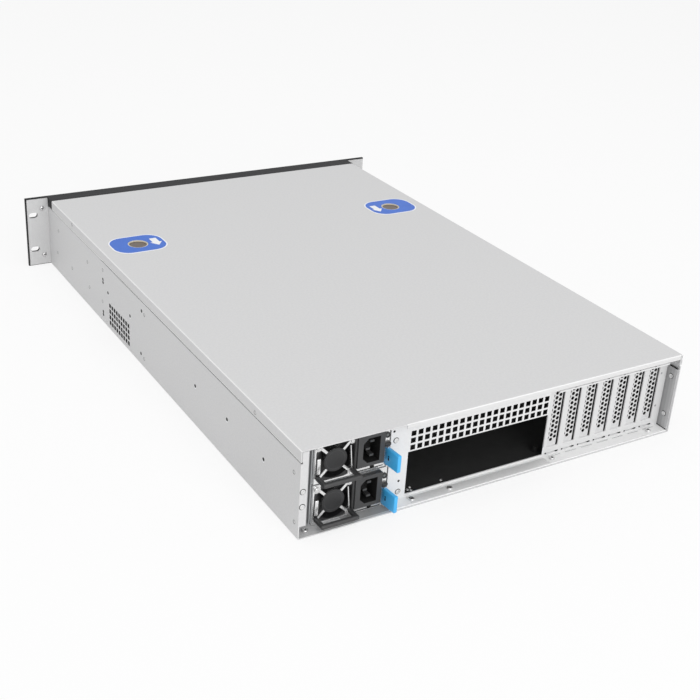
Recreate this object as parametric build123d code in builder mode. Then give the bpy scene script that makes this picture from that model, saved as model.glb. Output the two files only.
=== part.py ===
from build123d import *
import os
from math import cos, radians, sin

# Two-unit rack server chassis, barebone: no board, drives or cards in it.
# Front faces -Y, rear faces +Y, +Z is up. The origin is under the middle of the whole part.

os.makedirs("parts", exist_ok=True)

# Body and sheet metal
body_width = 428.0
body_height = 88.0
body_depth = 656.0  # back of the ears to the rear edge
steel = 1.2
cover_steel = 1.0
fit_gap = 0.2  # round a piece that is fixed in a pocket
slide_gap = 0.35  # between the cover and the walls that it slides on
flange_drop = 11.0  # height of the cover's side flange
seam_gap = 0.8
bend = 1.6  # outer radius of a fold
joggle_slope = 0.8  # height of the wall's joggle to its depth

# Front plate, ears and rack holes
ear_width = 27.3
ear_steel = 2.0
ear_margin = 1.4  # front plate showing round the ear
plate_thickness = 3.0
top_strip = 16.0  # depth of the fixed strip in front of the cover
rack_hole_inset = 8.75
rack_hole_pitch = 44.45
rack_slot_length = 11.0
rack_slot_width = 7.0
ear_screw_pitch = 61.0
ear_screw_inset = 7.5
grille_columns = 24
grille_pitch = 14.0
grille_width = 9.0
grille_height = 14.0
grille_middle_x = 19.0

# Rear panel
rear_recess = 15.0
hem_drop = 5.0
hem_notch = 18.0  # panel's end to the hem's end
io_width = 158.75
io_height = 44.45
io_bottom = 4.0
panel_gap = 3.5  # panel's end to the power supplies
panel_post = 19.75  # panel's end to the port opening
panel_height = 77.6
panel_corner = 6.0
vent_hole = 5.2
vent_columns = 21
vent_rows = 3
vent_pitch_x = 7.5
vent_pitch_z = 7.2
vent_over_io = 4.0  # opening's top to the middle of the first row
lip_steel = 1.0
strip_depth = 10.0
strip_inset = 7.5
strip_sink = 0.5
flap_bottom = 3.0
flap_top = 71.0

# Expansion slots
slot_pitch = 20.32
slot_width = 13.6
slot_bottom = 11.0
slot_height = 64.5
slot_side_web = 4.2  # opening for the ports to the first slot
slot_room = 12.0  # last slot's middle to the side wall, at least
slot_overlap = 2.0
cover_plate_width = 18.4
cover_plate_steel = 0.9
cover_plate_gap = 2.0  # slot's edge to the plate, left open
tongue_width = 11.0
tongue_shift = 1.1
card_tab = 10.5
perforation = 4.1
perforation_rows = 11
perforation_pitch = 5.1
perforation_shift = 2.1
perforation_start = 7.4
slit_width = 16.5
slit_height = 1.3
slit_level = 4.4
dash_length = 14.5
dash_width = 1.0
dash_shift = 2.0
dash_inset = 12.0

# Side walls and board standoffs
side_vent_hole = 5.0
side_vent_pitch = 7.0
side_vent_columns = 9
side_vent_rows = 4
side_vent_lead = 12.0  # fans' front to the middle of the grid
side_vent_middle = 19.8
return_width = 7.3
return_bottom = 13.0
standoff_height = 6.5
standoff_across = 5.0
board_margin = 5.0
board_holes_across = (6.35, 163.8, 298.5)
board_holes_along = (11.4, 168.9, 238.8)

# Cover latches
latch_inset = 45.0
latch_lead = 185.0  # body's front to the latches
latch_hole = 23.0
latch_wall = 1.2
latch_lip = 1.0
latch_flange = 3.0
latch_depth = 12.0
button_sink = 1.2
button_thickness = 2.4
label_length = 64.0
label_width = 49.0
label_corner = 19.0
label_film = 0.15

# Power supplies
psu_count = 2
psu_width = 74.0
psu_height = 40.0
psu_depth = 185.0
psu_side_gap = 18.8  # to the side wall
psu_proud = 3.0  # in front of the rear panel's face
psu_gap = 0.4
psu_steel = 0.8
cage_steel = 0.8
cage_depth = 196.0
fan_small = 38.0
fan_small_depth = 20.0
fan_small_bore = 36.0
guard_width = 37.6
guard_corner = 10.0
guard_hub = 22.0
spoke = 2.4
spoke_length = 48.0
inlet_width = 27.0
inlet_height = 31.5
inlet_proud = 5.0
inlet_depth = 20.0
inlet_across = 21.0  # case edge to the inlet's middle
inlet_drop = 0.8
inlet_flange = 1.2
socket_width = 17.0
socket_height = 24.5
socket_depth = 16.0
socket_chamfer = 5.0
pin_thin = 2.0
pin_wide = 4.0
pin_length = 13.0
pin_spread = 7.0
pin_offset = 2.0
handle_reach = 16.0
handle_bar = 5.0
handle_width = 38.0
handle_level = 4.0  # case bottom to the bar
tab_length = 17.5
tab_height = 17.0
tab_thickness = 4.0
tab_corner = 3.0
tab_level = 2.5
tab_lean = 5.0
tab_barrel = 3.2
tab_inset = 2.0
tab_pin = 1.6
tab_lug = 1.4
edge_width = 30.0  # edge connector at the inner end
edge_thickness = 2.0
edge_length = 8.0
edge_wall = 2.5
edge_gap = 0.5
socket_reach = 12.0

# Drive bays
bay_columns = 4
bay_rows = 2
bay_height = 27.6
bay_wall = 1.0
bay_gap = 0.4
bay_depth = 165.0
cage_side_gap = 1.9  # to the side walls
tray_depth = 150.0
tray_steel = 0.8
tray_rail = 12.0
tray_front = 6.0
tray_proud = 4.0
tray_slots = 6
tray_slot_bar = 3.0
tray_slot_height = 6.0
tray_slot_rise = 7.5
lever_width = 88.0
lever_height = 12.0
lever_thickness = 3.0
lever_drop = 3.0
lever_pin = 2.0
lever_lug = 1.5
lever_slack = 0.5
pin_clearance = 0.05
board = 1.6
plug_depth = 8.0
plug_width = 42.0
plug_height = 6.0
plug_left = 18.0
plug_drop = 6.0
board_vent_width = 24.0
board_vent_height = 34.0
board_vent_right = 32.0

# System fans
fan_count = 3
fan_size = 80.0
fan_depth = 38.0
fan_bore = 76.0
fan_hub = 16.0
fan_chord = 22.0
fan_pitch = 112.0
cage_room = 65.0  # drive cage to the fans
fan_shaft = 3.0
fan_small_hub = 8.0
fan_small_chord = 8.0
motor_plate = 3.0
strut = 3.0
blade_count = 7
blade = 1.2
blade_pitch = 35.0
blade_gap = 1.0
wall_bracket = 1.2
fan_foot = 12.0

# Power button
power_diameter = 10.0
power_gap = 0.3
power_proud = 1.5
power_collar = 1.5
power_inset = 22.8
power_level = 73.0

# Screws
screw_head = 5.6
screw_head_height = 1.9
lip_screw_inset = 7.5
strip_screw_insets = (3.25, 44.75)  # from the port opening's left edge
lip_screw_outset = 6.0  # from the port opening's right edge
wall_screw_insets = (9.8, 19.8)  # from the left and right side walls
tab_screw_inset = 5.5

# Places worked out from the sizes above
tab_root = tab_barrel / 2 + fit_gap
tab_reach = tab_length * cos(radians(tab_lean)) + tab_thickness / 2 * sin(radians(tab_lean))
front_reach = body_depth + ear_steel + plate_thickness + tray_proud + lever_thickness
rear_reach = psu_proud - rear_recess + tab_root + tab_reach
rear_y = (front_reach - rear_reach) / 2
front_y = rear_y - body_depth
plate_back = front_y - ear_steel
plate_front = plate_back - plate_thickness
panel_y = rear_y - rear_recess
psu_y = panel_y + psu_proud
half = body_width / 2
inner = half - steel
rack_width = body_width + 2 * ear_width
rack_hole_span = rack_width - 2 * rack_hole_inset
joggle = cover_steel + slide_gap
tilt = joggle * joggle_slope
wall_top = body_height - cover_steel - slide_gap
shoulder = body_height - flange_drop - seam_gap
latch_y = front_y + latch_lead
latch_span = body_width - 2 * latch_inset
power_across = power_inset - inner
bay_bottom = steel + bay_wall
cage_half = inner - cage_side_gap
bay_pitch_x = (2 * cage_half - bay_wall) / bay_columns
bay_width = bay_pitch_x - bay_wall
bay_pitch_z = bay_height + bay_wall
cage_top = bay_bottom + bay_rows * bay_pitch_z
cage_end = plate_back + bay_depth
fan_front = cage_end + cage_room
fan_roof = steel + fan_size + fit_gap
psu_right = inner - psu_side_gap - psu_width
psu_bay_width = psu_width + 2 * psu_gap
psu_bay_height = psu_height + 2 * psu_gap
psu_pitch = psu_bay_height + cage_steel
psu_middle_x = psu_right + psu_width / 2
psu_top = steel + psu_count * psu_pitch
fan_small_x = psu_right + psu_width - psu_steel - fit_gap - fan_small / 2
panel_left = psu_right - panel_gap
io_left = panel_left - panel_post
io_right = io_left - io_width
io_middle = io_left - io_width / 2
slot_first = io_right - slot_side_web - slot_width / 2
slot_count = int((slot_first + inner - slot_room) / slot_pitch) + 1
slot_places = [slot_first - slot_pitch * i for i in range(slot_count)]
cup_radius = latch_hole / 2 - fit_gap
cup_inner = cup_radius - latch_wall
stem_radius = cup_inner / 2


def at_y(y):
    """Sketch plane across the body at y: X is across, Y is up, extrusion runs to the front."""
    return Plane.XZ.offset(-y)


def at_x(x):
    """Sketch plane along the body at x: X runs to the rear, Y is up, extrusion runs to +X."""
    return Plane.YZ.offset(x)


def at_z(z):
    return Plane.XY.offset(z)


def save(name, solid):
    solid.label = name
    export_step(solid, f"parts/{name}.step")


def span(low, high, bottom, top, mode=Mode.ADD):
    """Rectangle between two pairs of limits in the plane of the sketch."""
    with Locations(((low + high) / 2, (bottom + top) / 2)):
        Rectangle(high - low, top - bottom, mode=mode)


def standoff_places():
    """Holes of a full-size board, from its rear corner beside the ports, where the floor has room."""
    corner = io_left + board_margin
    across = [corner - x for x in board_holes_across if corner - x > standoff_across - inner]
    return [(x, panel_y - y) for x in across for y in board_holes_along]


def chassis_tray():
    """Floor and side walls, folded from one sheet, with the walls set in under the cover."""
    with BuildPart() as tray:
        with BuildSketch(at_y(rear_y)):
            with BuildLine():
                Polyline(
                    (0, 0),
                    (half, 0),
                    (half, shoulder - tilt),
                    (half - joggle, shoulder),
                    (half - joggle, wall_top),
                    (inner - joggle, wall_top),
                    (inner - joggle, shoulder - steel / 2),
                    (inner, shoulder - steel / 2 - tilt),
                    (inner, steel),
                    (0, steel),
                    close=True,
                )
            make_face()
            mirror(about=Plane.YZ)
        extrude(amount=body_depth + ear_steel)
        folds = tray.edges().filter_by(Axis.Y).filter_by_position(Axis.Z, -fit_gap, fit_gap)
        fillet(folds, bend)
        with BuildSketch(at_y(rear_y)):
            with BuildLine():
                Polyline(
                    (half - return_width, return_bottom),
                    (inner, return_bottom),
                    (inner, shoulder - steel / 2 - tilt),
                    (inner - joggle, shoulder - steel / 2),
                    (inner - joggle, wall_top),
                    (half - return_width, wall_top),
                    close=True,
                )
            make_face()
        extrude(amount=steel)
        with BuildSketch(at_x(-half)):
            with Locations((fan_front + side_vent_lead, side_vent_middle)):
                with GridLocations(side_vent_pitch, side_vent_pitch, side_vent_columns, side_vent_rows):
                    Rectangle(side_vent_hole, side_vent_hole)
        extrude(amount=body_width, mode=Mode.SUBTRACT)
        with BuildSketch(at_z(steel)):
            with Locations(*standoff_places()):
                RegularPolygon(standoff_across / 2, 6, major_radius=False)
        extrude(amount=standoff_height)
    save("chassis_tray", tray.part)


def rear_panel():
    """Folded panel with the port opening, vents and slots, a foot on the floor and a flap on the wall."""
    slot_top = slot_bottom + slot_height
    vent_middle = io_bottom + io_height + vent_over_io + vent_pitch_z * (vent_rows - 1) / 2
    with BuildPart() as panel:
        with BuildSketch(at_y(panel_y)):
            with BuildLine():
                Polyline(
                    (-inner, steel),
                    (panel_left, steel),
                    (panel_left, panel_height),
                    (panel_corner - inner, panel_height),
                    (-inner, flap_top),
                    close=True,
                )
            make_face()
            span(io_right, io_left, io_bottom, io_bottom + io_height, Mode.SUBTRACT)
            with Locations((io_middle, vent_middle)):
                with GridLocations(vent_pitch_x, vent_pitch_z, vent_columns, vent_rows):
                    Rectangle(vent_hole, vent_hole, mode=Mode.SUBTRACT)
            with Locations(*[(x, (slot_bottom + slot_top) / 2) for x in slot_places]):
                Rectangle(slot_width, slot_height, mode=Mode.SUBTRACT)
            with Locations(*[(x, slit_level) for x in slot_places]):
                Rectangle(slit_width, slit_height, mode=Mode.SUBTRACT)
        extrude(amount=steel)
        with BuildSketch(at_z(steel)):
            span(-inner, panel_left, panel_y, rear_y - lip_steel)
            with Locations(*[(x - dash_shift, rear_y - dash_inset) for x in slot_places]):
                Rectangle(dash_length, dash_width, mode=Mode.SUBTRACT)
        extrude(amount=lip_steel)
        with BuildSketch(at_z(steel + lip_steel)):
            with Locations((io_middle, rear_y - strip_inset)):
                Rectangle(io_width, strip_depth)
        extrude(amount=-strip_sink, mode=Mode.SUBTRACT)
        with BuildSketch(at_x(-inner)):
            span(panel_y - steel, rear_y - steel, flap_bottom, flap_top)
        extrude(amount=steel)
        with BuildSketch(at_z(panel_height)):
            edge = cover_plate_width / 2
            span(slot_places[-1] - edge, slot_first + edge, panel_y, panel_y + card_tab - steel)
        extrude(amount=-steel)
    save("rear_panel", panel.part)


def slot_cover(number, x):
    """Perforated cover of one slot, with a tongue below and a screw tab folded to the rear."""
    back = panel_y - steel
    first = slot_bottom + perforation_start
    column_pitch = perforation_pitch * cos(radians(30))
    with BuildPart() as cover:
        with BuildSketch(at_y(back)):
            side = cover_plate_width / 2
            low = x - slot_width / 2 + cover_plate_gap
            tongue = x + tongue_shift
            span(low, x + side, slot_bottom - slot_overlap, panel_height + cover_plate_steel)
            span(tongue - tongue_width / 2, tongue + tongue_width / 2, steel + lip_steel, slot_bottom)
            for column in (-1, 0, 1):
                middle = x + perforation_shift + column * column_pitch
                start = first + abs(column) * perforation_pitch / 2
                rows = perforation_rows - abs(column)
                with Locations(*[(middle, start + row * perforation_pitch) for row in range(rows)]):
                    RegularPolygon(perforation / 2, 6, mode=Mode.SUBTRACT)
        extrude(amount=cover_plate_steel)
        with BuildSketch(at_z(panel_height)):
            span(x - side, x + side, back, back + card_tab)
        extrude(amount=cover_plate_steel)
    save(f"slot_cover_{number}", cover.part)


def top_cover():
    """Lid with side flanges, a rounded hem over the rear panel and two latch holes."""
    under = body_height - cover_steel
    lowest = body_height - flange_drop
    hem_start = joggle + slide_gap - inner
    hem_end = panel_left - hem_notch
    with BuildPart() as cover:
        with BuildSketch(at_y(rear_y)):
            span(-half, half, lowest, body_height)
            span(cover_steel - half, half - cover_steel, lowest, under, Mode.SUBTRACT)
        extrude(amount=body_depth - top_strip)
        folds = cover.edges().filter_by(Axis.Y).group_by(Axis.Z)[-1]
        fillet(folds, bend)
        with BuildSketch(at_z(under)):
            span(hem_start, hem_end, rear_y - bend, rear_y)
        extrude(amount=cover_steel, mode=Mode.SUBTRACT)
        with BuildSketch(at_x(hem_start)):
            with BuildLine():
                CenterArc((rear_y - bend, body_height - bend), bend, 0, 90)
                Line((rear_y - bend, body_height), (rear_y - bend, under))
                CenterArc((rear_y - bend, body_height - bend), bend - cover_steel, 0, 90)
                Polyline(
                    (rear_y - cover_steel, body_height - bend),
                    (rear_y - cover_steel, body_height - hem_drop),
                    (rear_y, body_height - hem_drop),
                    (rear_y, body_height - bend),
                )
            make_face()
        extrude(amount=hem_end - hem_start)
        with BuildSketch(at_z(under)):
            with Locations(*[(side * latch_span / 2, latch_y) for side in (-1, 1)]):
                Circle(latch_hole / 2)
        extrude(amount=cover_steel, mode=Mode.SUBTRACT)
    save("top_cover", cover.part)


def cover_label(name, x):
    """Printed film round a latch hole."""
    with BuildPart() as label:
        with BuildSketch(at_z(body_height)):
            with Locations((x, latch_y)):
                RectangleRounded(label_length, label_width, label_corner)
                Circle(latch_hole / 2, mode=Mode.SUBTRACT)
        extrude(amount=label_film)
    save(f"cover_label_{name}", label.part)


def latch_cup(name, x):
    """Cup that hangs from the lid by a flange and guides the button's stem."""
    floor = body_height - latch_depth
    under = body_height - cover_steel
    with BuildPart() as cup:
        with BuildSketch(at_z(floor)):
            with Locations((x, latch_y)):
                Circle(cup_radius)
        extrude(amount=latch_depth - fit_gap)
        with BuildSketch(at_z(under)):
            with Locations((x, latch_y)):
                Circle(latch_hole / 2 + latch_flange)
        extrude(amount=-latch_lip)
        with BuildSketch(at_z(floor + latch_wall)):
            with Locations((x, latch_y)):
                Circle(cup_inner)
        extrude(amount=latch_depth, mode=Mode.SUBTRACT)
        with BuildSketch(at_z(floor)):
            with Locations((x, latch_y)):
                Circle(stem_radius + slide_gap)
        extrude(amount=latch_wall, mode=Mode.SUBTRACT)
    save(f"latch_cup_{name}", cup.part)


def cover_button(name, x):
    """Button with a round stem that passes through the cup's floor."""
    top = body_height - button_sink
    with BuildPart() as button:
        with BuildSketch(at_z(top)):
            with Locations((x, latch_y)):
                Circle(cup_inner - slide_gap)
        extrude(amount=-button_thickness)
        with BuildSketch(at_z(top - button_thickness)):
            with Locations((x, latch_y)):
                Circle(stem_radius)
        extrude(amount=button_sink + button_thickness - latch_depth)
    save(f"cover_button_{name}", button.part)


def rack_slots(side):
    """Cuts one side's pair of rack slots in the sketch that is being drawn."""
    with Locations(*[(side * rack_hole_span / 2, (body_height + up * rack_hole_pitch) / 2) for up in (-1, 1)]):
        SlotOverall(rack_slot_length, rack_slot_width, mode=Mode.SUBTRACT)


def ear_screw_places(side):
    return [(side * (half + ear_screw_inset), (body_height + up * ear_screw_pitch) / 2) for up in (-1, 1)]


def ear(name, side):
    """Flat rack ear behind the front plate."""
    outer = rack_width / 2 - ear_margin
    with BuildPart() as plate:
        with BuildSketch(at_y(front_y)):
            with Locations((side * (outer + half) / 2, body_height / 2)):
                Rectangle(outer - half, body_height - 2 * ear_margin)
            rack_slots(side)
            with Locations(*ear_screw_places(side)):
                Circle(screw_head / 2 + fit_gap, mode=Mode.SUBTRACT)
        extrude(amount=ear_steel)
    save(f"ear_{name}", plate.part)


def front_bezel():
    """Front plate with the bay window, a grille above it and the fixed strip before the cover."""
    window = cage_half - bay_wall
    with BuildPart() as plate:
        with BuildSketch(at_y(plate_back)):
            with Locations((0, body_height / 2)):
                Rectangle(rack_width, body_height)
            span(-window, window, bay_bottom, cage_top - bay_wall, Mode.SUBTRACT)
            for side in (-1, 1):
                rack_slots(side)
            with Locations((grille_middle_x, power_level)):
                with GridLocations(grille_pitch, 1, grille_columns, 1):
                    Rectangle(grille_width, grille_height, mode=Mode.SUBTRACT)
            with Locations((power_across, power_level)):
                Circle(power_diameter / 2 + power_gap, mode=Mode.SUBTRACT)
        extrude(amount=plate_thickness)
        with BuildSketch(at_y(plate_back)):
            lowest = body_height - flange_drop
            span(-half, half, lowest, body_height)
            span(cover_steel - half, half - cover_steel, lowest, body_height - cover_steel, Mode.SUBTRACT)
        extrude(amount=slide_gap - top_strip - ear_steel)
    save("front_bezel", plate.part)


def bay_places():
    """Middle of each drive bay, lower row first."""
    places = []
    for row in range(bay_rows):
        for column in range(bay_columns):
            x = (column - (bay_columns - 1) / 2) * bay_pitch_x
            places.append((x, bay_bottom + bay_height / 2 + row * bay_pitch_z))
    return places


def drive_cage():
    """Open cage of thin sheet with a shelf under the upper row of trays."""
    with BuildPart() as cage:
        with BuildSketch(at_y(cage_end)):
            span(-cage_half, cage_half, steel, cage_top)
            with Locations(*bay_places()):
                Rectangle(bay_width, bay_height, mode=Mode.SUBTRACT)
        extrude(amount=bay_depth)
    save("drive_cage", cage.part)


def backplane():
    """Drive board across the back of the cage, with air holes and a connector for each bay."""
    with BuildPart() as plane:
        with BuildSketch(at_y(cage_end + board)):
            span(-cage_half, cage_half, steel, cage_top)
            with Locations(*[(x + board_vent_right, bay_bottom + bay_pitch_z) for x, z in bay_places()]):
                Rectangle(board_vent_width, board_vent_height, mode=Mode.SUBTRACT)
        extrude(amount=board)
        with BuildSketch(at_y(cage_end)):
            with Locations(*[(x - plug_left, z - plug_drop) for x, z in bay_places()]):
                Rectangle(plug_width, plug_height)
        extrude(amount=plug_depth)
    save("backplane", plane.part)


def drive_tray(number, x, z):
    """Open carrier of one drive: floor, two rails and a slotted front with lugs for the lever."""
    width = bay_width - 2 * bay_gap
    base = z - bay_height / 2 + bay_gap
    face = plate_front - tray_proud
    front_back = plate_back + tray_front
    lever_z = z - lever_drop
    lug_edge = lever_height / 2 + lever_slack
    pin_x = x - lever_width / 2
    with BuildPart() as tray:
        with BuildSketch(at_y(plate_back + tray_depth)):
            span(x - width / 2, x + width / 2, base, base + tray_rail)
            rail = width / 2 - tray_steel
            span(x - rail, x + rail, base + tray_steel, base + tray_rail, Mode.SUBTRACT)
        extrude(amount=tray_depth - tray_front)
        with BuildSketch(at_y(front_back)):
            span(x - width / 2, x + width / 2, base, z + bay_height / 2 - bay_gap)
            with Locations((x, z + tray_slot_rise)):
                with GridLocations(width / tray_slots, 1, tray_slots, 1):
                    Rectangle(width / tray_slots - tray_slot_bar, tray_slot_height, mode=Mode.SUBTRACT)
        extrude(amount=front_back - face)
        for side in (-1, 1):
            with BuildSketch(at_z(lever_z + side * lug_edge)):
                with Locations((pin_x, face - lever_thickness / 2)):
                    Rectangle(lever_thickness, lever_thickness)
            extrude(amount=side * lever_lug)
        with BuildSketch(at_z(lever_z - lug_edge)):
            with Locations((pin_x, face - lever_thickness / 2)):
                Circle(lever_pin / 2)
        extrude(amount=2 * lug_edge)
    save(f"drive_tray_{number}", tray.part)


def tray_lever(number, x, z):
    """Flat lever across the tray's front, hinged on the pin at its left end."""
    pin_x = x - lever_width / 2
    pin_y = plate_front - tray_proud - lever_thickness / 2
    with BuildPart() as lever:
        with BuildSketch(at_z(z - lever_drop - lever_height / 2)):
            with Locations((pin_x, pin_y)):
                Circle(lever_thickness / 2 - pin_clearance)
            with Locations((x, pin_y)):
                Rectangle(lever_width, lever_thickness - 2 * pin_clearance)
            with Locations((pin_x, pin_y)):
                Circle(lever_pin / 2 + pin_clearance, mode=Mode.SUBTRACT)
        extrude(amount=lever_height)
    save(f"tray_lever_{number}", lever.part)


def fan_wall():
    """Folded sheet in front of the system fans, with a foot forward and a roof over them."""
    side = inner - joggle - fit_gap
    face = fan_front - wall_bracket
    fan_middle = steel + fan_size / 2
    with BuildPart() as wall:
        with BuildSketch(at_y(fan_front)):
            span(-side, side, steel, fan_roof + wall_bracket)
            with Locations(*[(x, fan_middle) for x in fan_places()]):
                Circle(fan_bore / 2, mode=Mode.SUBTRACT)
        extrude(amount=wall_bracket)
        with BuildSketch(at_z(steel)):
            span(-side, side, face - fan_foot, face)
        extrude(amount=wall_bracket)
        with BuildSketch(at_z(fan_roof)):
            span(-side, side, face, fan_front + fan_depth)
        extrude(amount=wall_bracket)
    save("fan_wall", wall.part)


def fan_places():
    return [(i - (fan_count - 1) / 2) * fan_pitch for i in range(fan_count)]


def fan_frame(name, x, z, back, size, depth, bore, hub):
    """Square frame with a motor plate on struts at its front end and the rotor's shaft."""
    plate = back - depth + motor_plate
    with BuildPart() as frame:
        with BuildSketch(at_y(back)):
            with Locations((x, z)):
                Rectangle(size, size)
                Circle(bore / 2, mode=Mode.SUBTRACT)
        extrude(amount=depth)
        with BuildSketch(at_y(plate)):
            with Locations((x, z)):
                Circle(hub)
                Rectangle(bore + strut, strut, rotation=45)
                Rectangle(bore + strut, strut, rotation=-45)
        extrude(amount=motor_plate)
        with BuildSketch(at_y(plate)):
            with Locations((x, z)):
                Circle(fan_shaft / 2)
        extrude(amount=2 * motor_plate - depth)
    save(name, frame.part)


def blade_plane(x, y, z, turn):
    """Plane of one blade: X points out from the hub and the plane is pitched about it."""
    pitch = radians(blade_pitch)
    normal = (-sin(turn) * sin(pitch), cos(pitch), cos(turn) * sin(pitch))
    return Plane(origin=(x, y, z), x_dir=(cos(turn), 0, sin(turn)), z_dir=normal)


def fan_rotor(name, x, z, back, depth, bore, hub, chord):
    """Hub with pitched blades and a running bore on the frame's shaft."""
    length = depth - motor_plate - 2 * blade_gap
    middle = back - blade_gap - length / 2
    tip = ((bore / 2 - blade_gap) ** 2 - (chord / 2) ** 2) ** 0.5
    with BuildPart() as rotor:
        with BuildSketch(at_y(back - blade_gap)):
            with Locations((x, z)):
                Circle(hub)
        extrude(amount=length)
        for number in range(blade_count):
            turn = radians(360 / blade_count * number)
            with BuildSketch(blade_plane(x, middle, z, turn)):
                span(hub - blade, tip, -chord / 2, chord / 2)
            extrude(amount=blade / 2, both=True)
        with BuildSketch(at_y(back - blade_gap)):
            with Locations((x, z)):
                Circle(fan_shaft / 2 + pin_clearance)
        extrude(amount=length, mode=Mode.SUBTRACT)
    save(name, rotor.part)


def system_fans():
    for number, x in enumerate(fan_places(), 1):
        z = steel + fan_size / 2
        back = fan_front + fan_depth
        fan_frame(f"fan_frame_{number}", x, z, back, fan_size, fan_depth, fan_bore, fan_hub)
        fan_rotor(f"fan_rotor_{number}", x, z, back, fan_depth, fan_bore, fan_hub, fan_chord)


def psu_cage():
    """Open cage on the floor: two side walls, a shelf and a roof."""
    left = psu_right - psu_gap
    with BuildPart() as cage:
        with BuildSketch(at_y(panel_y)):
            span(left - cage_steel, left + psu_bay_width + cage_steel, steel, psu_top)
            for number in range(psu_count):
                bottom = steel + number * psu_pitch
                span(left, left + psu_bay_width, bottom, bottom + psu_bay_height, Mode.SUBTRACT)
        extrude(amount=cage_depth)
    save("psu_cage", cage.part)


def power_board():
    """Upright board at the inner end of the cage, with a socket for each power supply."""
    face = panel_y - cage_depth
    with BuildPart() as upright:
        with BuildSketch(at_y(face)):
            span(psu_right, psu_right + psu_width, steel, psu_top)
        extrude(amount=board)
        with BuildSketch(at_y(face)):
            for base in psu_bases():
                with Locations((psu_middle_x, base + psu_height / 2)):
                    wide = edge_width + 2 * edge_gap
                    thick = edge_thickness + 2 * edge_gap
                    Rectangle(wide + 2 * edge_wall, thick + 2 * edge_wall)
                    Rectangle(wide, thick, mode=Mode.SUBTRACT)
        extrude(amount=-socket_reach)
    save("power_board", upright.part)


def psu_bases():
    return [steel + psu_gap + number * psu_pitch for number in range(psu_count)]


def psu_case(name, base):
    """Case with a stamped fan guard, pockets for fan and inlet, latch lugs and edge connector."""
    top = base + psu_height
    middle = base + psu_height / 2
    inlet_x = psu_right + inlet_across
    inlet_z = top - inlet_drop - inlet_height / 2
    hole = (inlet_width - 2 * inlet_flange, inlet_height - 2 * inlet_flange)
    pocket = fan_small + 2 * fit_gap
    depth = fan_small_depth + fit_gap
    pin = (psu_right + tab_inset, psu_y + tab_root)
    with BuildPart() as case:
        with BuildSketch(at_y(psu_y)):
            span(psu_right, psu_right + psu_width, base, top)
            with Locations((fan_small_x, middle)):
                RectangleRounded(guard_width, guard_width, guard_corner, mode=Mode.SUBTRACT)
                Rectangle(spoke_length, spoke, rotation=45)
                Rectangle(spoke_length, spoke, rotation=-45)
                Circle(guard_hub / 2)
            with Locations((inlet_x, inlet_z)):
                Rectangle(*hole, mode=Mode.SUBTRACT)
        extrude(amount=psu_steel)
        with BuildSketch(at_y(psu_y - psu_steel)):
            span(psu_right, psu_right + psu_width, base, top)
            with Locations((fan_small_x, middle)):
                Rectangle(pocket, pocket, mode=Mode.SUBTRACT)
            with Locations((inlet_x, inlet_z)):
                Rectangle(*hole, mode=Mode.SUBTRACT)
        extrude(amount=depth)
        with BuildSketch(at_y(psu_y - psu_steel - depth)):
            span(psu_right, psu_right + psu_width, base, top)
        extrude(amount=psu_depth - psu_steel - depth)
        with BuildSketch(at_y(psu_y - psu_depth)):
            with Locations((psu_middle_x, middle)):
                Rectangle(edge_width, edge_thickness)
        extrude(amount=edge_length)
        tab_bottom = base + tab_level
        for level, side in ((tab_bottom - fit_gap, -1), (tab_bottom + tab_height + fit_gap, 1)):
            with BuildSketch(at_z(level)):
                span(pin[0] - tab_barrel / 2, pin[0] + tab_barrel / 2, psu_y, pin[1] + tab_barrel / 2)
            extrude(amount=side * tab_lug)
        with BuildSketch(at_z(tab_bottom - fit_gap)):
            with Locations(pin):
                Circle(tab_pin / 2)
        extrude(amount=tab_height + 2 * fit_gap)
    save(f"psu_{name}_case", case.part)


def psu_inlet(name, base):
    """Mains inlet: proud frame, keyed socket and three blades, the earth blade nearer the fan."""
    x = psu_right + inlet_across
    z = base + psu_height - inlet_drop - inlet_height / 2
    face = psu_y + inlet_proud
    side = socket_width / 2
    end = socket_height / 2
    with BuildPart() as inlet:
        with BuildSketch(at_y(face)):
            with Locations((x, z)):
                Rectangle(inlet_width, inlet_height)
        extrude(amount=inlet_proud)
        with BuildSketch(at_y(psu_y)):
            with Locations((x, z)):
                hole_gap = inlet_flange + fit_gap
                Rectangle(inlet_width - 2 * hole_gap, inlet_height - 2 * hole_gap)
        extrude(amount=inlet_depth)
        with BuildSketch(at_y(face)):
            with BuildLine():
                Polyline(
                    (x - side, z - end),
                    (x + side - socket_chamfer, z - end),
                    (x + side, z - end + socket_chamfer),
                    (x + side, z + end - socket_chamfer),
                    (x + side - socket_chamfer, z + end),
                    (x - side, z + end),
                    close=True,
                )
            make_face()
        extrude(amount=socket_depth, mode=Mode.SUBTRACT)
        with BuildSketch(at_y(face - socket_depth)):
            blades = [(x - pin_offset, z - pin_spread), (x - pin_offset, z + pin_spread), (x + pin_offset, z)]
            with Locations(*blades):
                Rectangle(pin_wide, pin_thin)
        extrude(amount=-pin_length)
    save(f"psu_{name}_inlet", inlet.part)


def psu_handle(name, base):
    """U-shaped pull handle that stands out in front of the fan."""
    left = fan_small_x - handle_width / 2
    right = fan_small_x + handle_width / 2
    end = psu_y + handle_reach
    with BuildPart() as handle:
        with BuildSketch(at_z(base + handle_level)):
            span(left, right, psu_y, end)
            span(left + handle_bar, right - handle_bar, psu_y, end - handle_bar, Mode.SUBTRACT)
        extrude(amount=handle_bar)
        corners = handle.edges().filter_by(Axis.Z).group_by(Axis.Y)[-1]
        fillet(corners, handle_bar / 2)
    save(f"psu_{name}_handle", handle.part)


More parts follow.
